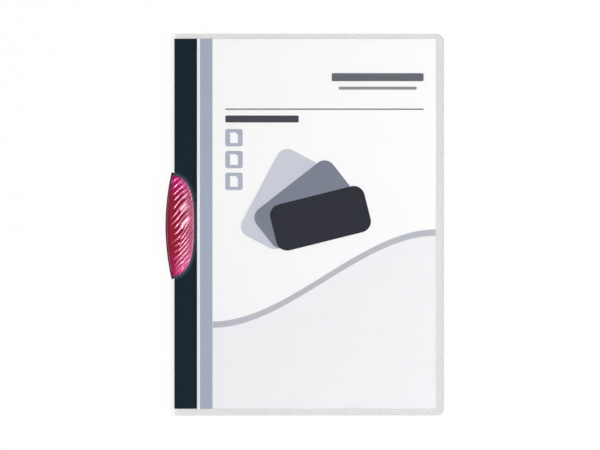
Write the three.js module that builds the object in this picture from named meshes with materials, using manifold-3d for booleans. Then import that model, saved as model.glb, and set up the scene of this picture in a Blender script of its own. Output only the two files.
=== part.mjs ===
// An A4 report folder of clear film with a turning clip on its spine.
// Millimetres. The folder lies on its back: +X runs from spine to fore edge, +Y to the top, +Z up.
// Inside the folder group, x = 0 is the outside of the spine and y = 0 is the folder's mid-height.

import * as THREE from "three";
import { mergeVertices } from "three/addons/utils/BufferGeometryUtils.js";
import Module from "manifold-3d";

// Covers
const coverWidth = 219;
const coverHeight = 306.5;
const coverFilm = 0.5;
const foreCornerRadius = 6;
const spineCornerRadius = 1;
const spineFoldRadius = 1;
const insideDepth = 2.4;
const restWidth = 30;
const creaseMargin = 1.6;
const creaseGap = 0.3;
const scoreWidth = 1;
const scoreDepth = 0.15;

// Clip plate, behind the folder
const plateLength = 86.4;
const plateWidth = 22;
const plateBow = 4.95;
const plateFullness = 6;
const plateThickness = 1.4;
const plateEdgeRound = 0.3;
const plateOverhang = 4.7;
const plateRunningGap = 0.1;
const clipCentreY = -0.9;

// Clip arm, in front of the folder
const armLength = 81;
const armWidth = 21.7;
const armInset = 1.3;
const armBow = 4.4;
const armFullness = 3.2;
const armHeight = 3.95;
const armEdge = 0.7;
const armShell = 1.5;
const armRimWall = 1.2;
const armClearance = 0.15;
const crestShare = 0.34;

// Ripples across the arm, broad near its outer arc and fine near its rim
const rippleHeight = 0.42;
const rippleSway = 0.6;
const broadPitch = 3.1;
const broadAngle = THREE.MathUtils.degToRad(47);
const finePitch = 2.2;
const fineAngle = THREE.MathUtils.degToRad(52);

// Rows and columns of facets on the arm's outer and inner face
const outerGrid = [150, 12];
const innerGrid = [40, 10];

// Web that joins plate and arm through the spine
const webWall = 1.5;
const webEndMargin = 5.5;
const webPivotGap = 5.9;

// Spine cut-out and pressed seat
const notchClearance = 0.6;
const notchEndMargin = 4;
const notchCornerRadius = 1.5;
const seatMargin = 1.9;
const seatEndMargin = 3;
const seatDepth = 0.35;

// Rivet
const pivotOffset = 33.9;
const rivetShankRadius = 1.6;
const rivetHeadRadius = 3.5;
const rivetHeadHeight = 0.6;
const rivetHeadChamfer = 0.25;
const rivetRunningGap = 0.12;
const rivetSeatGap = 0.05;
const pocketClearance = 0.3;
const pocketRoof = 0.5;
const pocketEndGap = 0.1;

// Printed insert
const sheetWidth = 210;
const sheetHeight = 297;
const sheetThickness = 0.25;
const sheetShiftY = 0.7;
const sheetNotchGap = 0.55;
const sheetRest = 0.05;
const foreClearance = 0.2;
const inkThickness = 0.05;
const inkGap = 0.02;

// Places of the print, from the sheet's left edge and down from its top edge
const darkStripeWidth = 18.2;
const stripeGap = 2.3;
const greyStripeWidth = 10.1;
const textLeft = 40.9;
const textRight = 200.1;
const ruleDown = 56;
const ruleThickness = 1;
const titleDown = 61.6;
const titleLength = 58.9;
const titleThickness = 5.6;
const headerDown = 27.6;
const headerLength = 73.8;
const headerThickness = 6.4;
const headerLineDown = 38.4;
const headerLineLength = 62.5;
const headerLineThickness = 2.4;
const iconDown = 72.5;
const iconPitch = 17.5;
const iconSize = 13.9;
const iconRadius = 1.8;
const iconCount = 3;
const pageWidth = 6.4;
const pageHeight = 8.6;
const pageFold = 1.9;
const fieldGap = 0.3;
const fieldLeftDown = 232;
const fieldRightDown = 158;
const bandWidth = 5;
const motifX = 84;
const motifDown = 172;
const motifCardLength = 78;
const motifCardWidth = 38;
const motifCardRadius = 9;
const motifTilts = [62, 38, 14];
const motifColours = [0xc9ccd6, 0x7f8493, 0x34353f];

// Heights, from the floor up
const backBottom = plateThickness + plateRunningGap;
const backTop = backBottom + coverFilm;
const frontBottom = backTop + insideDepth;
const frontTop = frontBottom + coverFilm;
const armRim = frontTop + armClearance;

// Places along x
const armOuterX = armInset - plateOverhang;
const armRightX = armOuterX + armWidth;
const armTipX = armOuterX + armBow;
const seatRightX = armRightX + seatMargin;
const creaseX = seatRightX + creaseMargin;
const pivotX = plateWidth / 2 - plateOverhang;
const pivotY = clipCentreY + pivotOffset;

// Outlines of arm and plate
const armHalf = armLength / 2;
const armArcRadius = (armHalf ** 2 + armBow ** 2) / (2 * armBow);
const plateHalf = plateLength / 2;
const plateArcRadius = (plateHalf ** 2 + plateBow ** 2) / (2 * plateBow);
const webLowEnd = webEndMargin - armHalf;
const webHighEnd = pivotOffset - webPivotGap;
const webReach = Math.max(-webLowEnd, webHighEnd);

const notchX = armLeftEdge(webReach) + webWall + notchClearance;
const restX = coverWidth - restWidth;
const backSlope = Math.atan2(backBottom, restX - creaseX);

// Sheet, from the rivet's head down to the back panel
const sheetX = notchX + sheetNotchGap;
const sheetRightX = sheetX + sheetWidth;
const headRightX = pivotX + rivetHeadRadius;
const sheetOnHead = backTop + rivetSeatGap + rivetHeadHeight + sheetRest;
const sheetOnPanel = coverFilm + Math.max(0, restX - sheetRightX) * Math.tan(backSlope) + sheetRest;
const sheetSlope = Math.atan2(sheetOnHead - sheetOnPanel, sheetRightX - headRightX);

// Front panel, from the crease down to the sheet or the back panel
const sheetAtFore = sheetOnPanel + (sheetRightX - coverWidth) * Math.tan(sheetSlope);
const foreTop = Math.max(coverFilm, sheetAtFore) + sheetThickness + foreClearance + inkThickness;
const frontSlope = Math.atan2(frontBottom - foreTop, coverWidth - creaseX);

const wasm = await Module();
wasm.setup();

// Closed solid for joining and cutting
function solidOf(geometry) {
  const bare = geometry.clone();
  bare.deleteAttribute("normal");
  bare.deleteAttribute("uv");
  const welded = mergeVertices(bare, 1e-5);
  const mesh = new wasm.Mesh({
    numProp: 3,
    vertProperties: new Float32Array(welded.getAttribute("position").array),
    triVerts: new Uint32Array(welded.getIndex().array),
  });
  return new wasm.Manifold(mesh);
}

// Geometry of a finished solid
function geometryOf(solid) {
  const mesh = solid.getMesh();
  const geometry = new THREE.BufferGeometry();
  geometry.setAttribute("position", new THREE.BufferAttribute(mesh.vertProperties, 3));
  geometry.setIndex(new THREE.BufferAttribute(mesh.triVerts, 1));
  geometry.computeVertexNormals();
  return geometry;
}

// Straight-sided solid over a plan outline, from one height to another
function prism(shape, bottom, top, curveSegments = 4) {
  const depth = top - bottom;
  const geometry = new THREE.ExtrudeGeometry(shape, { depth, bevelEnabled: false, curveSegments });
  return geometry.translate(0, 0, bottom);
}

// Rectangle with its own radius at the left and at the right corners, where 0 is a sharp corner
function roundedRectangle(left, right, low, high, leftRadius, rightRadius) {
  const shape = new THREE.Shape();
  const corner = (x, y, radius, quarter) => {
    const start = (quarter * Math.PI) / 2;
    if (radius > 0) shape.absarc(x, y, radius, start, start + Math.PI / 2);
    else shape.lineTo(x, y);
  };
  shape.moveTo(left + leftRadius, low);
  shape.lineTo(right - rightRadius, low);
  corner(right - rightRadius, low + rightRadius, rightRadius, 3);
  shape.lineTo(right, high - rightRadius);
  corner(right - rightRadius, high - rightRadius, rightRadius, 0);
  shape.lineTo(left + leftRadius, high);
  corner(left + leftRadius, high - leftRadius, leftRadius, 1);
  shape.lineTo(left, low + leftRadius);
  corner(left + leftRadius, low + leftRadius, leftRadius, 2);
  return shape;
}

// Arc of the arm's outer edge, at a height above the clip's centre
function armLeftEdge(along) {
  return armOuterX + armArcRadius - Math.sqrt(armArcRadius ** 2 - along ** 2);
}

// Full, rounded edge of the arm towards the crease
function armRightEdge(along) {
  const share = Math.min(1, Math.abs(along) / armHalf);
  return armTipX + (armRightX - armTipX) * Math.sqrt(1 - share ** armFullness);
}

// Height of the smooth arm above its rim
function armDome(x, along) {
  const left = armLeftEdge(along);
  const width = Math.max(armEdge, armRightEdge(along) - left);
  const across = THREE.MathUtils.clamp((x - left) / width, 0, 1);
  const rise = Math.sqrt(Math.max(0, 1 - (1 - across / crestShare) ** 2));
  const fall = 1 - ((across - crestShare) / (1 - crestShare)) ** 2.2;
  const section = across < crestShare ? rise : fall;
  const ends = Math.sqrt(Math.max(0, 1 - Math.abs(along / armHalf) ** 3.2));
  return armEdge + (armHeight - armEdge) * section * ends;
}

// Slanting, wandering ripples that fade out on the steep outer flank
function armRipple(x, along) {
  const slow = Math.sin(0.11 * along + 0.19 * x + 1);
  const quick = Math.sin(0.31 * along - 0.23 * x);
  const ridge = (angle, pitch) => {
    const across = along * Math.cos(angle) - x * Math.sin(angle) + rippleSway * (slow + 0.4 * quick);
    return 0.5 + 0.5 * Math.sin((2 * Math.PI * across) / pitch);
  };
  const left = armLeftEdge(along);
  const share = (x - left) / Math.max(armEdge, armRightEdge(along) - left);
  const end = along / armHalf;
  const fine = THREE.MathUtils.smoothstep(0.7 * share - 0.3 * end, 0.2, 0.75);
  const wave = (1 - fine) * ridge(broadAngle, broadPitch) + fine * ridge(fineAngle, finePitch);
  const patches = 0.7 + 0.3 * Math.sin(0.27 * along + 0.35 * x + 2);
  const flank = 0.12 + 0.88 * THREE.MathUtils.smoothstep(share, 0.05, 0.3);
  const rim = 1 - THREE.MathUtils.smoothstep(share, 0.93, 1);
  const ends = 1 - THREE.MathUtils.smoothstep(Math.abs(end), 0.93, 1);
  return rippleHeight * wave * patches * flank * rim * ends;
}

// Block under a surface given on a grid of rows and columns
function blockUnder([rows, columns], pointAt, bottom) {
  const points = [];
  const faces = [];
  const low = rows * columns;
  for (const floor of [false, true]) {
    for (let r = 0; r < rows; r += 1) {
      for (let c = 0; c < columns; c += 1) {
        const [x, y, z] = pointAt(r / (rows - 1), c / (columns - 1));
        points.push(x, y, floor ? bottom : z);
      }
    }
  }
  const quad = (a, b, c, d) => faces.push(a, b, c, a, c, d);
  for (let r = 0; r < rows - 1; r += 1) {
    for (let c = 0; c < columns - 1; c += 1) {
      const a = r * columns + c;
      quad(a, a + 1, a + columns + 1, a + columns);
      quad(low + a, low + a + columns, low + a + columns + 1, low + a + 1);
    }
  }
  for (let c = 0; c < columns - 1; c += 1) {
    const last = (rows - 1) * columns + c;
    quad(c, low + c, low + c + 1, c + 1);
    quad(last, last + 1, low + last + 1, low + last);
  }
  for (let r = 0; r < rows - 1; r += 1) {
    const a = r * columns;
    const b = a + columns - 1;
    quad(a, a + columns, low + a + columns, low + a);
    quad(b, low + b, low + b + columns, b + columns);
  }
  const geometry = new THREE.BufferGeometry();
  geometry.setAttribute("position", new THREE.Float32BufferAttribute(points, 3));
  geometry.setIndex(faces);
  return geometry;
}

// Surface over the arm whose rows run along the ripples
function armSurface(grid, heightAt, bottom) {
  const lean = Math.tan((broadAngle + fineAngle) / 2);
  const margin = armEdge;
  const across = armWidth + 2 * margin;
  const first = -armHalf - margin - lean * (armWidth + margin);
  const last = armHalf + margin + lean * margin;
  const pointAt = (row, column) => {
    const offset = column * across - margin;
    const along = first + row * (last - first) + lean * offset;
    const x = armLeftEdge(along) + offset;
    return [x, clipCentreY + along, heightAt(x, along)];
  };
  return blockUnder(grid, pointAt, bottom);
}

// Plan of the arm, drawn in by a wall at the outer arc and at the rim
function armPlan(outerWall, rimWall) {
  const steps = 40;
  const shape = new THREE.Shape();
  const half = armHalf - rimWall;
  const squeeze = armHalf / half;
  for (let i = 0; i <= steps; i += 1) {
    const along = half * Math.sin((Math.PI * (2 * i - steps)) / (2 * steps));
    const right = armRightEdge(along * squeeze) - rimWall;
    const x = Math.max(right, armLeftEdge(along) + outerWall);
    shape[i ? "lineTo" : "moveTo"](x, clipCentreY + along);
  }
  for (let i = steps - 1; i > 0; i -= 1) {
    const along = half * Math.sin((Math.PI * (2 * i - steps)) / (2 * steps));
    shape.lineTo(armLeftEdge(along) + outerWall, clipCentreY + along);
  }
  return shape;
}

// Crescent wall along the arm's outer arc
function webPlan() {
  const steps = 24;
  const shape = new THREE.Shape();
  const at = (i) => webLowEnd + ((webHighEnd - webLowEnd) * i) / steps;
  for (let i = 0; i <= steps; i += 1) {
    shape[i ? "lineTo" : "moveTo"](armLeftEdge(at(i)) + webWall, clipCentreY + at(i));
  }
  for (let i = steps; i >= 0; i -= 1) {
    shape.lineTo(armLeftEdge(at(i)), clipCentreY + at(i));
  }
  return shape;
}

function circle(x, y, radius) {
  return new THREE.Shape().absarc(x, y, radius, 0, 2 * Math.PI);
}

// Plan of the plate: a shallow arc outside the spine and a fuller edge behind the folder
function platePlan() {
  const steps = 40;
  const crowding = 0.8;
  const shape = new THREE.Shape();
  const tipX = plateBow - plateOverhang;
  const depth = plateWidth - plateBow;
  const shareAt = (i) => {
    const even = (2 * i - steps) / steps;
    return THREE.MathUtils.lerp(even, Math.sin((Math.PI * even) / 2), crowding);
  };
  for (let i = 0; i <= steps; i += 1) {
    const x = tipX + depth * (1 - Math.abs(shareAt(i)) ** plateFullness);
    shape[i ? "lineTo" : "moveTo"](x, clipCentreY + plateHalf * shareAt(i));
  }
  for (let i = steps - 1; i > 0; i -= 1) {
    const along = plateHalf * shareAt(i);
    const sag = plateArcRadius - Math.sqrt(plateArcRadius ** 2 - along ** 2);
    shape.lineTo(sag - plateOverhang, clipCentreY + along);
  }
  return shape;
}

// Back plate with a bore and a pocket for the rivet's lower head
function clipPlate() {
  const rounded = new THREE.ExtrudeGeometry(platePlan(), {
    depth: plateThickness - 2 * plateEdgeRound,
    bevelThickness: plateEdgeRound,
    bevelSize: plateEdgeRound,
    bevelOffset: -plateEdgeRound,
    bevelSegments: 2,
  });
  const bore = circle(pivotX, pivotY, rivetShankRadius + rivetRunningGap);
  const pocket = circle(pivotX, pivotY, rivetHeadRadius + pocketClearance);
  return solidOf(rounded.translate(0, 0, plateEdgeRound))
    .subtract(solidOf(prism(bore, -plateThickness, 2 * plateThickness, 24)))
    .subtract(solidOf(prism(pocket, -plateThickness, plateThickness - pocketRoof, 24)));
}

// One moulding: plate behind, web through the spine, domed arm in front
function spineClip() {
  const outerTop = (x, along) => armRim + armDome(x, along) + armRipple(x, along);
  const innerTop = (x, along) => armRim + armDome(x, along) - armShell;
  const outer = armSurface(outerGrid, outerTop, 0);
  const inner = armSurface(innerGrid, innerTop, 0);
  const ceiling = armRim + 2 * armHeight;
  const arm = solidOf(outer).intersect(solidOf(prism(armPlan(0, 0), armRim, ceiling)));
  const hollow = solidOf(inner).intersect(solidOf(prism(armPlan(webWall, armRimWall), 0, ceiling)));
  const web = solidOf(prism(webPlan(), plateThickness / 2, armRim + armEdge / 2));
  return geometryOf(arm.subtract(hollow).add(web).add(clipPlate()));
}

// Section of the back panel, spine and binding strip, folded from one film.
// The panel slopes down behind the crease and lies flat on the table towards the fore edge.
function coverSection() {
  const fold = spineFoldRadius;
  const inner = Math.max(0.05, fold - coverFilm);
  const stripEnd = creaseX - creaseGap / 2;
  const section = new THREE.Shape();
  section.moveTo(coverWidth, 0);
  section.lineTo(coverWidth, coverFilm);
  section.lineTo(restX, coverFilm);
  section.lineTo(creaseX + scoreWidth / 2, backTop);
  section.lineTo(creaseX, backTop - scoreDepth);
  section.lineTo(creaseX - scoreWidth / 2, backTop);
  section.lineTo(coverFilm + inner, backTop);
  section.absarc(coverFilm + inner, backTop + inner, inner, 1.5 * Math.PI, Math.PI, true);
  section.lineTo(coverFilm, frontBottom - inner);
  section.absarc(coverFilm + inner, frontBottom - inner, inner, Math.PI, Math.PI / 2, true);
  section.lineTo(stripEnd, frontBottom);
  section.lineTo(stripEnd, frontTop);
  section.lineTo(fold, frontTop);
  section.absarc(fold, frontTop - fold, fold, Math.PI / 2, Math.PI);
  section.lineTo(0, backBottom + fold);
  section.absarc(fold, backBottom + fold, fold, Math.PI, 1.5 * Math.PI);
  section.lineTo(creaseX, backBottom);
  section.lineTo(restX, 0);
  return section;
}

// Half-oval around the clip's arm
function seatPlan(inset) {
  const oval = new THREE.Shape();
  const across = seatRightX - notchX - inset;
  const along = armHalf + seatEndMargin - inset;
  oval.moveTo(notchX, clipCentreY - along);
  oval.absellipse(notchX, clipCentreY, across, along, -Math.PI / 2, Math.PI / 2);
  return oval;
}

function backCover() {
  const ceiling = 2 * frontTop;
  const half = coverHeight / 2;
  const folded = new THREE.ExtrudeGeometry(coverSection(), {
    depth: coverHeight,
    bevelEnabled: false,
    curveSegments: 6,
  });
  folded.rotateX(Math.PI / 2).translate(0, half, 0);
  const plan = roundedRectangle(0, coverWidth, -half, half, spineCornerRadius, foreCornerRadius);
  const notchHalf = armHalf + notchEndMargin;
  const notch = roundedRectangle(
    -notchX,
    notchX,
    clipCentreY - notchHalf,
    clipCentreY + notchHalf,
    notchCornerRadius,
    notchCornerRadius,
  );
  const hole = circle(pivotX, pivotY, rivetShankRadius + rivetRunningGap);
  const seatFloor = frontBottom - seatDepth;
  const pan = solidOf(prism(seatPlan(0), seatFloor, frontTop, 40)).subtract(
    solidOf(prism(seatPlan(coverFilm), seatFloor + coverFilm, ceiling, 40)),
  );
  const cover = solidOf(folded)
    .intersect(solidOf(prism(plan, -1, ceiling, 8)))
    .subtract(solidOf(prism(seatPlan(0), frontBottom - coverFilm, ceiling, 40)))
    .add(pan)
    .subtract(solidOf(prism(notch, -1, ceiling)))
    .subtract(solidOf(prism(hole, -1, frontBottom - coverFilm, 24)));
  return geometryOf(cover);
}

// Front panel from the crease to the fore edge, with its top face at z = 0
function frontCover() {
  const half = coverHeight / 2;
  const reach = (coverWidth - creaseX) / Math.cos(frontSlope);
  const plan = roundedRectangle(creaseGap / 2, reach, -half, half, 0, foreCornerRadius);
  return prism(plan, -coverFilm, 0, 8);
}

// Rivet turned about its own axis, with a flat head at each end
function pivotRivet() {
  const lowEnd = pocketEndGap;
  const lowHead = plateThickness - pocketRoof - pocketEndGap;
  const highHead = backTop + rivetSeatGap;
  const highEnd = highHead + rivetHeadHeight;
  const profile = [
    [0, lowEnd],
    [rivetHeadRadius - rivetHeadChamfer, lowEnd],
    [rivetHeadRadius, lowEnd + rivetHeadChamfer],
    [rivetHeadRadius, lowHead],
    [rivetShankRadius, lowHead],
    [rivetShankRadius, highHead],
    [rivetHeadRadius, highHead],
    [rivetHeadRadius, highEnd - rivetHeadChamfer],
    [rivetHeadRadius - rivetHeadChamfer, highEnd],
    [0, highEnd],
  ].map(([radius, height]) => new THREE.Vector2(radius, height));
  return new THREE.LatheGeometry(profile, 40).rotateX(Math.PI / 2);
}

function plainMesh(name, geometry, colour, roughness, opacity = 1) {
  const material = new THREE.MeshStandardMaterial({
    color: colour,
    roughness,
    metalness: 0,
    opacity,
    transparent: opacity < 1,
  });
  const mesh = new THREE.Mesh(geometry, material);
  mesh.name = name;
  return mesh;
}

// Print, as thin fields of colour on the sheet
const sheetTopY = sheetHeight / 2;
const sweepSteps = 24;
const stripesRight = darkStripeWidth + stripeGap + greyStripeWidth;

function bar(left, right, down, thickness, radius) {
  const high = sheetTopY - down;
  return roundedRectangle(left, right, high - thickness, high, radius, radius);
}

// Rounded square with a small page, its corner folded, left open in it
function iconShape(index) {
  const high = sheetTopY - iconDown - index * iconPitch;
  const square = bar(textLeft, textLeft + iconSize, iconDown + index * iconPitch, iconSize, iconRadius);
  const left = textLeft + (iconSize - pageWidth) / 2;
  const low = high - (iconSize + pageHeight) / 2;
  const page = new THREE.Path();
  page.moveTo(left, low);
  page.lineTo(left + pageWidth, low);
  page.lineTo(left + pageWidth, low + pageHeight - pageFold);
  page.lineTo(left + pageWidth - pageFold, low + pageHeight);
  page.lineTo(left, low + pageHeight);
  square.holes.push(page);
  return square;
}

// Sweeping edge from the stripes to the sheet's right edge
function sweep(shape, left, lift, backwards) {
  const start = [left, sheetTopY - fieldLeftDown + lift];
  const end = [sheetWidth, sheetTopY - fieldRightDown + lift];
  const third = (sheetWidth - left) / 3;
  const bend = [left + third, start[1], sheetWidth - third, end[1]];
  if (backwards) {
    shape.lineTo(...end);
    shape.bezierCurveTo(bend[2], bend[3], bend[0], bend[1], ...start);
  } else {
    shape.moveTo(...start);
    shape.bezierCurveTo(...bend, ...end);
  }
}

function fieldShape() {
  const left = stripesRight + fieldGap;
  const shape = new THREE.Shape();
  shape.moveTo(left, -sheetTopY);
  shape.lineTo(sheetWidth, -sheetTopY);
  sweep(shape, left, 0, true);
  return shape;
}

function bandShape() {
  const left = stripesRight + fieldGap;
  const shape = new THREE.Shape();
  sweep(shape, left, 0, false);
  sweep(shape, left, bandWidth, true);
  return shape;
}

// Rounded card that fans out from a common corner
function motifCard(tilt) {
  const card = roundedRectangle(0, motifCardLength, 0, motifCardWidth, motifCardRadius, motifCardRadius);
  const angle = THREE.MathUtils.degToRad(tilt);
  const turned = card.getPoints(6).map((p) => p.rotateAround(new THREE.Vector2(), angle));
  return new THREE.Shape(turned.map((p) => p.add(new THREE.Vector2(motifX, sheetTopY - motifDown))));
}

function printedSheet() {
  const sheet = new THREE.Group();
  const high = sheetOnHead + (headRightX - sheetX) * Math.tan(sheetSlope);
  sheet.position.set(sheetX, sheetShiftY, high);
  sheet.rotation.y = sheetSlope;

  const half = sheetHeight / 2;
  const paper = roundedRectangle(0, sheetWidth, -half, half, 0, 0);
  sheet.add(plainMesh("insert_sheet", prism(paper, 0, sheetThickness), 0xf7f7f7, 0.8));

  const print = (name, shape, colour, layer = 0, curveSegments = 3) => {
    const bottom = sheetThickness + inkGap + layer * (inkThickness + inkGap);
    const geometry = prism(shape, bottom, bottom + inkThickness, curveSegments);
    sheet.add(plainMesh(name, geometry, colour, 0.6));
  };
  const greyLeft = darkStripeWidth + stripeGap;
  print("print_stripe_dark", bar(0, darkStripeWidth, 0, sheetHeight, 0), 0x1e2932);
  print("print_stripe_grey", bar(greyLeft, stripesRight, 0, sheetHeight, 0), 0xa3acbe);
  print("print_rule", bar(textLeft, textRight, ruleDown, ruleThickness, 0), 0xa8a8a8);
  print("print_title_bar", bar(textLeft, textLeft + titleLength, titleDown, titleThickness, 1), 0x4a4c55);
  const headerLeft = textRight - headerLength;
  const headerMid = headerLeft + headerLength / 2;
  const lineHalf = headerLineLength / 2;
  print("print_header_bar", bar(headerLeft, textRight, headerDown, headerThickness, 1), 0x55575e);
  print(
    "print_header_line",
    bar(headerMid - lineHalf, headerMid + lineHalf, headerLineDown, headerLineThickness, 0.5),
    0x8b8d93,
  );
  for (let i = 0; i < iconCount; i += 1) {
    print("print_icon_" + (i + 1), iconShape(i), 0xaab2c0);
  }
  print("print_field", fieldShape(), 0xebebf2, 0, sweepSteps);
  print("print_band", bandShape(), 0xb9bac2, 1, sweepSteps);
  motifTilts.forEach((tilt, i) => {
    print("print_card_" + (i + 1), motifCard(tilt), motifColours[i], 2 + i);
  });
  return sheet;
}

const folder = new THREE.Group();
folder.add(plainMesh("back_cover", backCover(), 0xe6e7e8, 0.35, 0.3));

const panel = new THREE.Group();
panel.position.set(creaseX, 0, frontTop);
panel.rotation.y = frontSlope;
panel.add(plainMesh("front_cover", frontCover(), 0xe6e7e8, 0.35, 0.3));
folder.add(panel);

folder.add(plainMesh("spine_clip", spineClip(), 0xc2295a, 0.2, 0.85));

const rivet = plainMesh("pivot_rivet", pivotRivet(), 0xc2295a, 0.3);
rivet.position.set(pivotX, pivotY, 0);
folder.add(rivet);
folder.add(printedSheet());

// The origin is on the floor under the middle of the whole outline
folder.position.x = (plateOverhang - coverWidth) / 2;
const clipFolder = new THREE.Group();
clipFolder.add(folder);

export default clipFolder;
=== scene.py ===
import math

import bpy
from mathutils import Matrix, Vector


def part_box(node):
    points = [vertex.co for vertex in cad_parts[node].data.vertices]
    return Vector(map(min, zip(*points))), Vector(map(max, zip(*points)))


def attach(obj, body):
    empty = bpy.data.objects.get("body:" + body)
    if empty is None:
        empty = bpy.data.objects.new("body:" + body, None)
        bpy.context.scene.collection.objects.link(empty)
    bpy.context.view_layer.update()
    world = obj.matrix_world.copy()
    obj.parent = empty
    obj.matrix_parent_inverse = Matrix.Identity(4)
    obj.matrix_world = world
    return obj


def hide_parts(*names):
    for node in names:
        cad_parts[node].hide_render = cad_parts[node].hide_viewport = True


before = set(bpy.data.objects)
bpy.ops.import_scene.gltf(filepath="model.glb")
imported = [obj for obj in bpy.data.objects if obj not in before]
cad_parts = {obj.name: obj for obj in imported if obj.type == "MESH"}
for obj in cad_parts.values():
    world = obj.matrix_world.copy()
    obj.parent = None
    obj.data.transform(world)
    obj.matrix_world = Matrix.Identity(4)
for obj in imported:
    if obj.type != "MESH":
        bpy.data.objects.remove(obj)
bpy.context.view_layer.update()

MM = 0.001

# Places that the frame gives, in metres
clip_low, clip_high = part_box("spine_clip")
sheet_low, sheet_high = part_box("insert_sheet")
floor_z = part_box("back_cover")[0].z
clip_middle_y = (clip_low.y + clip_high.y) / 2

# The photograph's framing: the point under its middle and the width that it spans
VIEW_CENTRE = Vector((-3.8 * MM, -0.3 * MM, 4 * MM))
VIEW_WIDTH = 481.3 * MM
CAMERA_HEIGHT = 2.5
CAMERA_REACH = 20
SENSOR_WIDTH = 36

# The floor lies a hair below the film, so that the two faces don't coincide. The camera sees it
# as its own white for the most part, and the rest is its light and shadow.
FLOOR_GAP = 0.1 * MM
FLOOR_REACH = 3.0
FLOOR_ALBEDO = 0.96
FLOOR_GLOW = 0.95
SKY_STRENGTH = 0.2

# Area lights: name, place, side length and power
LIGHTS = (
    ("key", (2.1, -0.9, 2.7), 3.0, 74.0),
    ("side", (2.1, 1.4, 2.6), 2.4, 26.0),
    ("core", (1.3, -1.1, 2.9), 0.5, 22.0),
    ("rim", (2.6, -1.4, 1.9), 0.9, 34.0),
    ("fill", (-2.4, -0.4, 2.0), 3.4, 5.0),
)

# Clip, in millimetres from the plate's outer edge and from the clip's middle
PLATE_WIDTH = 22.0
PLATE_HALF = 43.2
PLATE_BOW = 4.95
PLATE_FULLNESS = 6
PLATE_THICKNESS = 1.4
PLATE_ROUND = 0.45
PLATE_OVERHANG = 4.7
PIVOT_OFFSET = 33.9
POCKET_RADIUS = 3.8
POCKET_DEPTH = 0.9
BORE_RADIUS = 1.72
ARM_RIM = 5.05
ARM_HALF = 40.5
ARM_WIDTH = 21.7
ARM_INSET = 1.3
ARM_BOW = 4.4
ARM_FULLNESS = 3.2
ARM_HEIGHT = 3.95
ARM_EDGE = 0.7
ARM_SHELL = 1.5
ARM_RIM_WALL = 1.2
ARM_ROUND = 0.6
CREST_SHARE = 0.34
FALL_FULLNESS = 2.2
END_FULLNESS = 3.2
WEB_WALL = 1.5
WEB_LOW = -35.0
WEB_HIGH = 28.0
# How far the web's wall reaches into the plate and into the arm
WEB_SINK = 0.05
WEB_RISE = 0.3

# Ripples, broad beside the outer flank and fine towards the rim. Sharpness narrows the crests.
RIPPLE_HEIGHT = 0.5
BROAD_PITCH = 3.6
BROAD_SHARPNESS = 3
BROAD_ANGLE = math.radians(47)
FINE_PITCH = 2.5
FINE_SHARPNESS = 2
FINE_ANGLE = math.radians(52)
# Where fine ripples take over, from the share of the width and of the half length
FINE_SLANT = (0.7, -0.3)
FINE_BAND = (0.38, 0.5)
# Sway of the lines: its size, the quick wave's size beside the slow one's, and the radians of each
# per millimetre along and across
RIPPLE_SWAY = 0.5
QUICK_SHARE = 0.4
SLOW_WAVE = (0.11, 0.19)
QUICK_WAVE = (0.31, -0.23)
# Each line starts at its own share of the width and has its own strength
START_LEAST = -0.03
START_SPREAD = 0.2
START_FADE = 0.15
STRENGTH_LEAST = 0.6
STRENGTH_SPREAD = 0.25
STRENGTH_KEY = 57
# Two broad crests, whose tops also carry a painted white glint: folder place across and along,
# half length and half width
BROAD_CRESTS = ((9.6, 15.4, 5.0, 1.7), (11.2, 3.4, 6.0, 2.1))
# Shares of the width and half length where ripples fade out, and where the rim gets a painted
# glint
RIPPLE_END = 0.93
RIM_GLINT_BAND = (0.9, 0.97)
RIM_GLINT_LEAST = 0.6
RIM_GLINT_CRESTS = 0.45
UPPER_END = (0.3, 0.6)

# Grid of the arm, and steps of web and plate
ARM_ROWS = 360
ARM_COLUMNS = 90
ARM_TIP = 0.9995
END_DEPTH = 1.6
ROUND_SHARE = 0.9
ROOF_LEAST = 0.02
WEB_STEPS = 60
PLATE_STEPS = 80
PLATE_CROWDING = 0.8
PLATE_TURNS = (0, 0.5, 1.05, math.pi / 2)
MITRE_LEAST = 0.6
SHARP_ANGLE = math.radians(40)

# Film: how solid its cut edge looks, and the milkiness of its back panel and of the pressed seat,
# which is partly a painted glint, with the places between which each sets in
EDGE_ALPHA = 0.6
PANEL_FROST = (0.03, 0.33)
PANEL_HEIGHTS = (3.0 * MM, 2.2 * MM)
PANEL_ACROSS = (sheet_low.x - 2 * MM, sheet_low.x + 3 * MM)
FORE_FROST = 1.04
SEAT_MILK_AND_GLINT = 0.075
SEAT_RING = (1.16, 0.97)
SEAT_HEIGHTS = (3.5 * MM, 4.0 * MM)


def srgb(red, green, blue):
    """Linear colour of an 8-bit sRGB one."""

    def linear(c):
        return c / 12.92 if c <= 0.04045 else ((c + 0.055) / 1.055) ** 2.4

    return (linear(red / 255), linear(green / 255), linear(blue / 255), 1.0)


# Film
FILM_DULL = srgb(206, 206, 205)
FILM_PALE = srgb(213, 213, 213)
# Pale blue of the pressed seat: partly the film's own whitening, partly a painted glint
FILM_SEAT = srgb(172, 206, 224)
FILM_ROUGHNESS = (0.27, 0.31)
FILM_BLEND = 0.35
# Vertical part of a normal: up to the first it is the film's cut edge, from the second its face
EDGE_STEEPNESS = (0.1, 0.3)

# Paper and ink
PAPER_FOOT = srgb(243, 243, 245)
PAPER_BODY = srgb(249, 249, 249)
PAPER_BODY_PLACE = 0.75
PAPER_FIBRE = srgb(236, 236, 236)
FIBRE_SHARE = 0.12
INK_MOTTLE = 0.01

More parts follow.
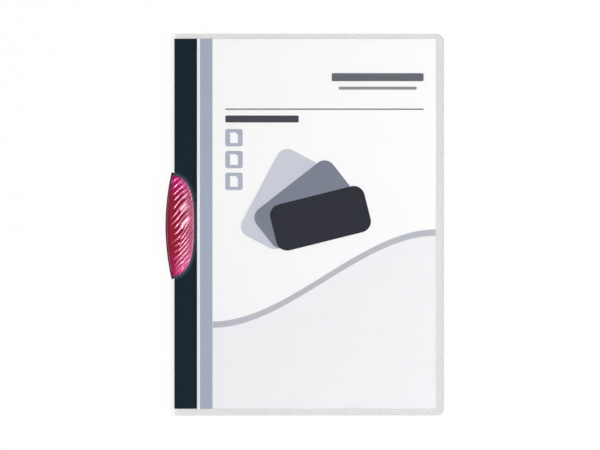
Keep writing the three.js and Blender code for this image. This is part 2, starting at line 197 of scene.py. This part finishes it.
# Clip: colours, and where each sets in, across in millimetres from the arm's outer side, and
# along as a share of the half length
CLIP_CRIMSON = srgb(160, 2, 34)
CLIP_WINE = srgb(122, 2, 50)
CLIP_MAGENTA = srgb(196, 4, 114)
CLIP_WARM = srgb(180, 10, 50)
# Pink painted highlight on the ripple crests
CLIP_HIGHLIGHT_PINK = srgb(248, 128, 176)
# Near-white painted glint on the brightest crests and along the rim
CLIP_GLINT = srgb(255, 238, 240)
CLIP_SHEEN = srgb(255, 190, 214)
# Painted light: the plate's rose is paler than the arm's plastic, so it looks lit where the arm
# shades it
PLATE_LIT_ROSE = srgb(206, 106, 128)
# Painted shade at the plate's tips
PLATE_SHADE = srgb(74, 36, 50)
WINE_ACROSS = (4.0, 15.0)
MAGENTA_ALONG = (0.45, 0.95)
# Amount of painted highlight between which the ridges' pink painted highlight and the white
# painted glint set in, and how much of each there is at most
PINK_CREST = (0.38, 0.76)
PINK_SHARE = 0.8
GLINT_CREST = (0.8, 0.97)
GLINT_SHARE = 0.95
WARM_SHARE = 0.4
PLATE_TOP = 2.5

# Height of the bumps in a material
BUMP_HEIGHT = 0.05 * MM


class Nodes:
    """A material's node tree, built from the shader back."""

    def __init__(self, name):
        self.material = bpy.data.materials.new(name)
        self.material.use_nodes = True
        self.tree = self.material.node_tree
        self.shader = self.tree.nodes["Principled BSDF"]

    def add(self, kind, **settings):
        node = self.tree.nodes.new("ShaderNode" + kind)
        for key, value in settings.items():
            setattr(node, key, value)
        return node

    def link(self, source, target):
        self.tree.links.new(source, target)

    def fix(self, **values):
        """Sets sockets of the shader that are the same all over."""
        for key, value in values.items():
            self.shader.inputs[key.replace("_", " ")].default_value = value

    def place(self):
        """The object's own coordinates."""
        return self.add("TexCoord").outputs["Object"]

    def split(self, vector):
        node = self.add("SeparateXYZ")
        self.link(vector, node.inputs[0])
        return node.outputs

    def math(self, operation, first, second=None, clamp=False):
        node = self.add("Math", operation=operation, use_clamp=clamp)
        for socket, value in zip(node.inputs, (first, second)):
            if isinstance(value, (int, float)):
                socket.default_value = value
            elif value is not None:
                self.link(value, socket)
        return node.outputs[0]

    def noise(self, scale, detail=3.0, stretch=(1, 1, 1)):
        mapping = self.add("Mapping")
        mapping.inputs["Scale"].default_value = stretch
        self.link(self.place(), mapping.inputs["Vector"])
        node = self.add("TexNoise")
        node.inputs["Scale"].default_value = scale
        node.inputs["Detail"].default_value = detail
        self.link(mapping.outputs[0], node.inputs["Vector"])
        return node.outputs["Fac"]

    def ramp(self, value, *stops):
        """A colour for each stop's place along value."""
        node = self.add("ValToRGB")
        elements = node.color_ramp.elements
        while len(elements) < len(stops):
            elements.new(0.5)
        for element, (position, colour) in zip(elements, stops):
            element.position = position
            element.color = colour
        self.link(value, node.inputs["Fac"])
        return node.outputs["Color"]

    def between(self, value, low, high, to_low=0.0, to_high=1.0):
        """Smooth change from one setting to another while value goes from low to high."""
        node = self.add("MapRange", interpolation_type="SMOOTHSTEP")
        self.link(value, node.inputs["Value"])
        settings = {"From Min": low, "From Max": high, "To Min": to_low, "To Max": to_high}
        for key, setting in settings.items():
            node.inputs[key].default_value = setting
        return node.outputs["Result"]

    def mix(self, factor, first, second):
        node = self.add("Mix", data_type="RGBA")
        factor_in, _, _, _, _, _, first_in, second_in = node.inputs[:8]
        self.link(factor, factor_in)
        for socket, value in ((first_in, first), (second_in, second)):
            if isinstance(value, tuple):
                socket.default_value = value
            else:
                self.link(value, socket)
        return node.outputs[2]

    def bump(self, height, strength):
        node = self.add("Bump")
        node.inputs["Strength"].default_value = strength
        node.inputs["Distance"].default_value = BUMP_HEIGHT
        self.link(height, node.inputs["Height"])
        self.link(node.outputs[0], self.shader.inputs["Normal"])


def film_material(name, clear, falloff, sheen_share, frosted=False):
    """Clear, lightly grained film, with a painted sheen that grows towards a slanting view.

    The sheen is laid on as the film's own milky colour in place of a glancing reflection. The
    frosted film is also milky on its back panel, and pale blue around the clip's arm, partly its
    own milkiness and partly a painted glint.
    """
    nodes = Nodes(name)
    spots = nodes.noise(14.0)
    tone = nodes.ramp(spots, (0.3, FILM_DULL), (0.7, FILM_PALE))
    # Painted sheen: more of the film's own colour shows at a glancing view, in place of its
    # reflection
    facing = nodes.add("LayerWeight")
    facing.inputs["Blend"].default_value = FILM_BLEND
    milk_and_sheen = nodes.math("MULTIPLY", nodes.math("POWER", facing.outputs["Facing"], falloff), sheen_share)
    normal = nodes.split(nodes.add("TexCoord").outputs["Normal"])
    edge = nodes.between(nodes.math("ABSOLUTE", normal["Z"]), *EDGE_STEEPNESS, EDGE_ALPHA, 0.0)
    milk_and_sheen = nodes.math("MAXIMUM", milk_and_sheen, edge)
    if frosted:
        height = nodes.split(nodes.place())["Z"]
        tone = nodes.mix(nodes.between(height, *SEAT_HEIGHTS), tone, FILM_SEAT)
        milk_and_sheen = nodes.math("MAXIMUM", milk_and_sheen, back_frost(nodes))
        milk_and_sheen = nodes.math("MAXIMUM", milk_and_sheen, seat_milk_and_glint(nodes))
    nodes.link(tone, nodes.shader.inputs["Base Color"])
    nodes.link(nodes.math("ADD", milk_and_sheen, clear, clamp=True), nodes.shader.inputs["Alpha"])
    grain = nodes.between(nodes.noise(900.0), 0.3, 0.7, *FILM_ROUGHNESS)
    nodes.link(grain, nodes.shader.inputs["Roughness"])
    nodes.fix(Specular_IOR_Level=0.4)
    return nodes.material


def back_frost(nodes):
    """Milkiness of the back panel, more towards the fore edge."""
    place = nodes.split(nodes.place())
    back = nodes.between(place["Z"], *PANEL_HEIGHTS)
    across = nodes.between(place["X"], *PANEL_ACROSS, *PANEL_FROST)
    fore = nodes.between(place["X"], sheet_high.x - 4 * MM, sheet_high.x, 1.0, FORE_FROST)
    return nodes.math("MULTIPLY", nodes.math("MULTIPLY", back, across), fore)


def seat_milk_and_glint(nodes):
    """Milkiness of the pressed film around the clip's arm, partly a painted glint of the pressed
    seat.
    """
    place = nodes.split(nodes.place())
    tip = clip_low.x + (ARM_INSET + ARM_BOW) * MM
    inward = nodes.math("SUBTRACT", place["X"], tip)
    across = nodes.math("DIVIDE", inward, (ARM_WIDTH - ARM_BOW) * MM)
    along = nodes.math("SUBTRACT", place["Y"], clip_middle_y)
    end = nodes.math("DIVIDE", nodes.math("ABSOLUTE", along), ARM_HALF * MM)
    fullness = nodes.math("POWER", end, ARM_FULLNESS)
    distance = nodes.math("SQRT", nodes.math("ADD", nodes.math("POWER", across, 2.0), fullness))
    ring = nodes.between(distance, *SEAT_RING, 0.0, SEAT_MILK_AND_GLINT)
    return nodes.math("MULTIPLY", ring, nodes.between(place["Z"], *SEAT_HEIGHTS))


def paper_material():
    """Smooth white print paper, a little cooler and darker towards the foot."""
    nodes = Nodes("paper")
    place = nodes.split(nodes.place())
    down = nodes.between(place["Y"], sheet_low.y, sheet_high.y)
    tone = nodes.ramp(down, (0.0, PAPER_FOOT), (PAPER_BODY_PLACE, PAPER_BODY))
    fibre = nodes.noise(700.0, 4.0, (1, 0.4, 1))
    colour = nodes.mix(nodes.between(fibre, 0.2, 0.8, 0.0, FIBRE_SHARE), tone, PAPER_FIBRE)
    nodes.link(colour, nodes.shader.inputs["Base Color"])
    nodes.fix(Roughness=0.75, Specular_IOR_Level=0.2)
    nodes.bump(fibre, 0.15)
    return nodes.material


def ink_material(name, colour):
    """Printed ink with the slight unevenness of a litho field."""
    nodes = Nodes(name)
    mottle = nodes.noise(160.0, 4.0)
    light = tuple(min(1.0, c * (1 + INK_MOTTLE)) for c in colour[:3]) + (1.0,)
    dark = tuple(c * (1 - INK_MOTTLE) for c in colour[:3]) + (1.0,)
    nodes.link(nodes.ramp(mottle, (0.35, dark), (0.65, light)), nodes.shader.inputs["Base Color"])
    nodes.fix(Roughness=0.55, Specular_IOR_Level=0.05)
    return nodes.material


def clip_material():
    """Glossy translucent plastic, crimson on the outer flank, wine inward and magenta towards the
    ends.

    Pink and white on the crests and rim are painted highlights and glints; the plate's pale rose
    is painted light, darkening to painted shade at its tips.
    """
    nodes = Nodes("clip_plastic")
    place = nodes.split(nodes.place())
    painted_highlight = nodes.add("Attribute", attribute_name="painted_highlight").outputs["Fac"]
    cloud = nodes.noise(60.0)
    outer = clip_low.x + ARM_INSET * MM
    across = nodes.between(place["X"], *(outer + x * MM for x in WINE_ACROSS))
    along = nodes.math("ABSOLUTE", nodes.math("SUBTRACT", place["Y"], clip_middle_y))
    ends = nodes.between(along, *(share * ARM_HALF * MM for share in MAGENTA_ALONG))
    flank = nodes.mix(across, CLIP_CRIMSON, CLIP_WINE)
    valley = nodes.mix(ends, flank, CLIP_MAGENTA)
    warm = nodes.mix(nodes.between(cloud, 0.35, 0.65, 0.0, WARM_SHARE), valley, CLIP_WARM)
    # Painted highlight: pink on the ripple crests
    ridge = nodes.mix(nodes.between(painted_highlight, *PINK_CREST, 0.0, PINK_SHARE), warm, CLIP_HIGHLIGHT_PINK)
    # Painted glint: near white on the brightest crests and along the rim
    painted_glint = nodes.mix(nodes.between(painted_highlight, *GLINT_CREST, 0.0, GLINT_SHARE), ridge, CLIP_GLINT)
    # The plate: pale rose as painted light, darkening to painted shade at the tips
    plate = nodes.mix(ends, PLATE_LIT_ROSE, PLATE_SHADE)
    top = nodes.between(place["Z"], PLATE_THICKNESS * MM, PLATE_TOP * MM)
    colour = nodes.mix(top, plate, painted_glint)
    nodes.link(colour, nodes.shader.inputs["Base Color"])
    nodes.fix(
        Roughness=0.15,
        IOR=1.6,
        Specular_IOR_Level=1.0,
        Specular_Tint=CLIP_SHEEN,
        Transmission_Weight=0.12,
    )
    nodes.bump(nodes.noise(450.0), 0.06)
    return nodes.material


def floor_material():
    """Pale studio floor that the camera sees as white, with the object's shadow kept."""
    nodes = Nodes("studio_floor")
    nodes.fix(Base_Color=(FLOOR_ALBEDO, FLOOR_ALBEDO, FLOOR_ALBEDO, 1), Roughness=0.9)
    glow = nodes.add("Emission")
    glow.inputs["Strength"].default_value = 1.0
    rays = nodes.add("LightPath").outputs
    seen = nodes.math("MAXIMUM", rays["Is Camera Ray"], rays["Is Transmission Ray"])
    blend = nodes.add("MixShader")
    nodes.link(nodes.math("MULTIPLY", seen, FLOOR_GLOW), blend.inputs[0])
    nodes.link(nodes.shader.outputs[0], blend.inputs[1])
    nodes.link(glow.outputs[0], blend.inputs[2])
    nodes.link(blend.outputs[0], nodes.tree.nodes["Material Output"].inputs["Surface"])
    return nodes.material


def arc_radius(half, bow):
    """Radius of an arc from half its chord and its height."""
    return (half**2 + bow**2) / (2 * bow)


ARM_RADIUS = arc_radius(ARM_HALF, ARM_BOW)
PLATE_RADIUS = arc_radius(PLATE_HALF, PLATE_BOW)


def left_edge(along):
    """Place across of the arm's bowed outer side."""
    return ARM_INSET + ARM_RADIUS - math.sqrt(ARM_RADIUS**2 - along**2)


def right_edge(along):
    """Place across of the arm's fuller inner side."""
    share = min(1.0, abs(along) / ARM_HALF)
    tip = ARM_INSET + ARM_BOW
    return tip + (ARM_WIDTH - ARM_BOW) * math.sqrt(1 - share**ARM_FULLNESS)


def dome(x, along):
    """Height of the arm's smooth outer face above its rim."""
    left = left_edge(along)
    width = max(ARM_EDGE, right_edge(along) - left)
    across = min(1.0, max(0.0, (x - left) / width))
    rise = math.sqrt(max(0.0, 1 - (1 - across / CREST_SHARE) ** 2))
    fall = 1 - max(0.0, (across - CREST_SHARE) / (1 - CREST_SHARE)) ** FALL_FULLNESS
    section = rise if across < CREST_SHARE else fall
    ends = math.sqrt(max(0.0, 1 - abs(along / ARM_HALF) ** END_FULLNESS))
    return ARM_EDGE + (ARM_HEIGHT - ARM_EDGE) * section * ends


def smoothstep(value, low, high):
    """Smooth rise from 0 to 1 between two values."""
    share = min(1.0, max(0.0, (value - low) / (high - low)))
    return share * share * (3 - 2 * share)


def scatter(number):
    """A fixed value from 0 to 1 that looks random from one whole number to the next."""
    return (math.sin(number * 12.9898 + 4.1) * 43758.5453) % 1


def ripple(x, along):
    """Height of the ripples, and the amount of painted highlight there.

    The painted highlight is near 1 on a crest, and a painted glint runs along the rim.
    """
    place = x - PLATE_OVERHANG
    left = left_edge(along)
    share = (x - left) / max(ARM_EDGE, right_edge(along) - left)
    end = along / ARM_HALF
    slow = math.sin(SLOW_WAVE[0] * along + SLOW_WAVE[1] * place + 1)
    quick = math.sin(QUICK_WAVE[0] * along + QUICK_WAVE[1] * place)
    sway = RIPPLE_SWAY * (slow + QUICK_SHARE * quick)

    def ridge(angle, pitch, sharpness):
        across = along * math.cos(angle) - place * math.sin(angle) + sway
        number = math.floor(across / pitch + 0.25)
        start = START_SPREAD * scatter(number) + START_LEAST
        strength = STRENGTH_LEAST + STRENGTH_SPREAD * scatter(number + STRENGTH_KEY)
        wave = (0.5 + 0.5 * math.sin(2 * math.pi * across / pitch)) ** sharpness
        return wave * strength * smoothstep(share, start, start + START_FADE)

    fine = smoothstep(FINE_SLANT[0] * share + FINE_SLANT[1] * end, *FINE_BAND)
    wave = (1 - fine) * ridge(BROAD_ANGLE, BROAD_PITCH, BROAD_SHARPNESS)
    wave += fine * ridge(FINE_ANGLE, FINE_PITCH, FINE_SHARPNESS)
    for x_mid, along_mid, half_length, half_width in BROAD_CRESTS:
        dx, dy = place - x_mid, along - along_mid
        forward = dx * math.cos(BROAD_ANGLE) + dy * math.sin(BROAD_ANGLE)
        sideways = dy * math.cos(BROAD_ANGLE) - dx * math.sin(BROAD_ANGLE)
        spread = (forward / half_length) ** 4 + (sideways / half_width) ** 2
        wave += (1 - wave) * math.exp(-spread)
    rim = 1 - smoothstep(share, RIPPLE_END, 1)
    ends = 1 - smoothstep(abs(end), RIPPLE_END, 1)
    # Painted glint along the rim, stronger on the crests of the upper half
    rim_glint = RIM_GLINT_LEAST + RIM_GLINT_CRESTS * wave * smoothstep(end, *UPPER_END)
    return RIPPLE_HEIGHT * wave * rim * ends, max(smoothstep(share, *RIM_GLINT_BAND) * rim_glint, wave * ends)


def rounded(depth):
    """How far a rounded edge falls at a distance in from it."""
    if depth >= ARM_ROUND:
        return 0.0
    return ARM_ROUND - math.sqrt(ARM_ROUND**2 - (ARM_ROUND - max(0.0, depth)) ** 2)


class Shell:
    """Points and faces of the clip, with each point's amount of painted highlight."""

    def __init__(self):
        self.points = []
        self.faces = []
        self.crests = []

    def point(self, x, along, z, painted_highlight=0.0):
        self.points.append((clip_low.x + x * MM, clip_middle_y + along * MM, floor_z + z * MM))
        self.crests.append(painted_highlight)
        return len(self.points) - 1

    def loop(self, first, second):
        """Joins two closed loops of points with a band of faces."""
        count = len(first)
        for i in range(count):
            j = (i + 1) % count
            self.faces.append((first[i], first[j], second[j], second[i]))

    def grid(self, rows, flip):
        for low, high in zip(rows, rows[1:]):
            for i in range(len(low) - 1):
                face = (low[i], low[i + 1], high[i + 1], high[i])
                self.faces.append(face[::-1] if flip else face)


def border(rows):
    """Indices round a grid's edge, in order."""
    right = [row[-1] for row in rows[1:-1]]
    left = [row[0] for row in rows[1:-1]]
    return rows[0] + right + rows[-1][::-1] + left[::-1]


def add_arm(shell):
    """Rippled outer face, rim and hollow underside of the arm."""
    outer, rim, lip, inner = [], [], [], []
    for r in range(ARM_ROWS):
        along = ARM_HALF * ARM_TIP * math.sin(math.pi * (r / (ARM_ROWS - 1) - 0.5))
        left, right = left_edge(along), right_edge(along)
        top_row, rim_row, lip_row, inner_row = [], [], [], []
        for c in range(ARM_COLUMNS):
            even = c / (ARM_COLUMNS - 1)
            share = 0.5 * even + 0.25 * (1 - math.cos(math.pi * even))
            x = left + (right - left) * share
            height, painted_highlight = ripple(x, along)
            depth = min(right - x, (ARM_HALF - abs(along)) * END_DEPTH)
            fall = min(rounded(depth), ARM_EDGE * ROUND_SHARE)
            z = ARM_RIM + dome(x, along) + height - fall
            top_row.append(shell.point(x, along, z, painted_highlight))
            rim_row.append((x, along))
            hollow_left = min(left + WEB_WALL, (left + right) / 2)
            hollow_right = max(right - ARM_RIM_WALL, hollow_left)
            hollow_along = along * (1 - ARM_RIM_WALL / ARM_HALF)
            hx = hollow_left + (hollow_right - hollow_left) * share
            roof = ARM_RIM + max(ROOF_LEAST, dome(hx, hollow_along) - ARM_SHELL)
            lip_row.append((hx, hollow_along))
            inner_row.append((hx, hollow_along, roof))
        outer.append(top_row)
        rim.append(rim_row)
        lip.append(lip_row)
        inner.append(inner_row)
    shell.grid(outer, False)
    rim_loop = [shell.point(x, along, ARM_RIM) for x, along in border(rim)]
    lip_loop = [shell.point(x, along, ARM_RIM) for x, along in border(lip)]
    hollow = [[shell.point(*place) for place in row] for row in inner]
    shell.grid(hollow, True)
    shell.loop(rim_loop, border(outer))
    shell.loop(lip_loop, rim_loop)
    shell.loop(border(hollow), lip_loop)


def add_web(shell):
    """Crescent wall from the plate up to the arm's rim."""
    levels = (PLATE_THICKNESS - WEB_SINK, ARM_RIM + WEB_RISE)
    loops = []
    for z in levels:
        loop = []
        for inset, order in ((0.0, range(WEB_STEPS, -1, -1)), (WEB_WALL, range(WEB_STEPS + 1))):
            for i in order:
                along = WEB_LOW + (WEB_HIGH - WEB_LOW) * i / WEB_STEPS
                loop.append(shell.point(left_edge(along) + inset, along, z))
        loops.append(loop)
    shell.loop(*loops)
    shell.faces.append(tuple(loops[1]))
    shell.faces.append(tuple(reversed(loops[0])))


def plate_outline(inset):
    """Plan of the plate, drawn in by an even distance."""
    turns = [2 * i / PLATE_STEPS - 1 for i in range(PLATE_STEPS + 1)]
    shares = [(1 - PLATE_CROWDING) * t + PLATE_CROWDING * math.sin(math.pi * t / 2) for t in turns]
    depth = PLATE_WIDTH - PLATE_BOW
    full = [(PLATE_BOW + depth * (1 - abs(s) ** PLATE_FULLNESS), PLATE_HALF * s) for s in shares]
    bowed = [PLATE_HALF * s for s in shares[-2:0:-1]]
    arc = [(PLATE_RADIUS - math.sqrt(PLATE_RADIUS**2 - along**2), along) for along in bowed]
    outline = [Vector(point) for point in full + arc]
    drawn = []
    for i, here in enumerate(outline):
        ahead = (outline[(i + 1) % len(outline)] - here).normalized()
        behind = (here - outline[i - 1]).normalized()
        turn = (ahead + behind).normalized()
        reach = inset / max(MITRE_LEAST, turn.dot(ahead))
        drawn.append(here + Vector((-turn.y, turn.x)) * reach)
    return drawn


def add_plate(shell):
    """Back plate with rounded edges and a pocket for the rivet's head."""
    pivot = Vector((PLATE_WIDTH / 2, PIVOT_OFFSET))

    def ring(turn, low):
        """Outline part of the way round the lower or the upper edge."""
        drop = PLATE_ROUND * (1 - math.cos(turn))
        z = drop if low else PLATE_THICKNESS - drop
        inset = PLATE_ROUND * (1 - math.sin(turn))
        return [shell.point(p.x, p.y, z) for p in plate_outline(inset)]

    def hole(radius, z):
        """Circle about the pivot, a point for each one of the outline."""
        spokes = [(point - pivot).normalized() for point in plate_outline(0.0)]
        return [shell.point(pivot.x + radius * s.x, pivot.y + radius * s.y, z) for s in spokes]

    rings = [ring(turn, True) for turn in PLATE_TURNS]
    rings += [ring(turn, False) for turn in reversed(PLATE_TURNS)]
    for low, high in zip(rings, rings[1:]):
        shell.loop(low, high)
    pocket = hole(POCKET_RADIUS, 0.0)
    roof = hole(POCKET_RADIUS, POCKET_DEPTH)
    bore_low = hole(BORE_RADIUS, POCKET_DEPTH)
    bore_high = hole(BORE_RADIUS, PLATE_THICKNESS)
    shell.loop(pocket, rings[0])
    shell.loop(roof, pocket)
    shell.loop(bore_low, roof)
    shell.loop(bore_high, bore_low)
    shell.loop(rings[-1], bore_high)


def make_clip(material):
    """The clip's moulding, in place of its CAD solid."""
    shell = Shell()
    add_arm(shell)
    add_web(shell)
    add_plate(shell)
    mesh = bpy.data.meshes.new("clip_moulding")
    mesh.from_pydata(shell.points, [], shell.faces)
    # Each point's amount of painted highlight, which the clip's material reads
    painted_highlight = mesh.attributes.new("painted_highlight", "FLOAT", "POINT")
    painted_highlight.data.foreach_set("value", shell.crests)
    mesh.validate()
    mesh.update()
    clip = bpy.data.objects.new("clip_moulding", mesh)
    bpy.context.collection.objects.link(clip)
    mesh.materials.append(material)
    for polygon in mesh.polygons:
        polygon.use_smooth = True
    mesh.set_sharp_from_angle(angle=SHARP_ANGLE)
    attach(clip, "clip")
    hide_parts("spine_clip")


def dress(node, material):
    """Gives a carried-over CAD node its finish."""
    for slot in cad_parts[node].material_slots:
        slot.material = material


def area_light(name, place, size, power):
    """Square light that shines at the frame's origin."""
    light = bpy.data.lights.new(name, "AREA")
    light.shape = "SQUARE"
    light.size = size
    light.energy = power
    lamp = bpy.data.objects.new(name, light)
    bpy.context.collection.objects.link(lamp)
    lamp.location = place
    lamp.rotation_euler = (-lamp.location).to_track_quat("-Z", "Y").to_euler()


def make_camera():
    """Camera straight above, as the photograph was framed."""
    data = bpy.data.cameras.new("camera")
    data.sensor_fit = "HORIZONTAL"
    data.sensor_width = SENSOR_WIDTH
    data.lens = SENSOR_WIDTH * CAMERA_HEIGHT / VIEW_WIDTH
    data.clip_end = CAMERA_REACH
    camera = bpy.data.objects.new("camera", data)
    bpy.context.collection.objects.link(camera)
    camera.location = VIEW_CENTRE + Vector((0, 0, CAMERA_HEIGHT))
    bpy.context.scene.camera = camera


def make_floor():
    """Wide plain floor just under the folder."""
    mesh = bpy.data.meshes.new("floor")
    sides = ((-1, -1), (1, -1), (1, 1), (-1, 1))
    corners = [(x * FLOOR_REACH, y * FLOOR_REACH, floor_z - FLOOR_GAP) for x, y in sides]
    mesh.from_pydata(corners, [], [(0, 1, 2, 3)])
    floor = bpy.data.objects.new("floor", mesh)
    bpy.context.collection.objects.link(floor)
    mesh.materials.append(floor_material())


def make_world():
    """Even white light from all sides."""
    world = bpy.data.worlds.new("studio")
    world.use_nodes = True
    background = world.node_tree.nodes["Background"]
    background.inputs["Color"].default_value = (1, 1, 1, 1)
    background.inputs["Strength"].default_value = SKY_STRENGTH
    bpy.context.scene.world = world


INKS = {
    "print_stripe_dark": srgb(14, 27, 38),
    "print_stripe_grey": srgb(165, 175, 193),
    "print_rule": srgb(104, 104, 106),
    "print_title_bar": srgb(72, 74, 82),
    "print_header_bar": srgb(104, 106, 114),
    "print_header_line": srgb(140, 142, 148),
    "print_icon_1": srgb(172, 179, 194),
    "print_icon_2": srgb(172, 179, 194),
    "print_icon_3": srgb(172, 179, 194),
    "print_field": srgb(237, 236, 239),
    "print_band": srgb(186, 187, 196),
    "print_card_1": srgb(202, 205, 215),
    "print_card_2": srgb(126, 131, 146),
    "print_card_3": srgb(46, 47, 56),
}

make_camera()
make_floor()
make_world()
for light in LIGHTS:
    area_light(*light)

magenta = clip_material()
make_clip(magenta)
dress("pivot_rivet", magenta)
dress("back_cover", film_material("clear_film", 0.006, 3.0, 0.5, frosted=True))
dress("front_cover", film_material("front_film", 0.004, 2.0, 0.8))
dress("insert_sheet", paper_material())
for node, colour in INKS.items():
    dress(node, ink_material(node + "_ink", colour))

bpy.context.scene.view_settings.view_transform = "Standard"
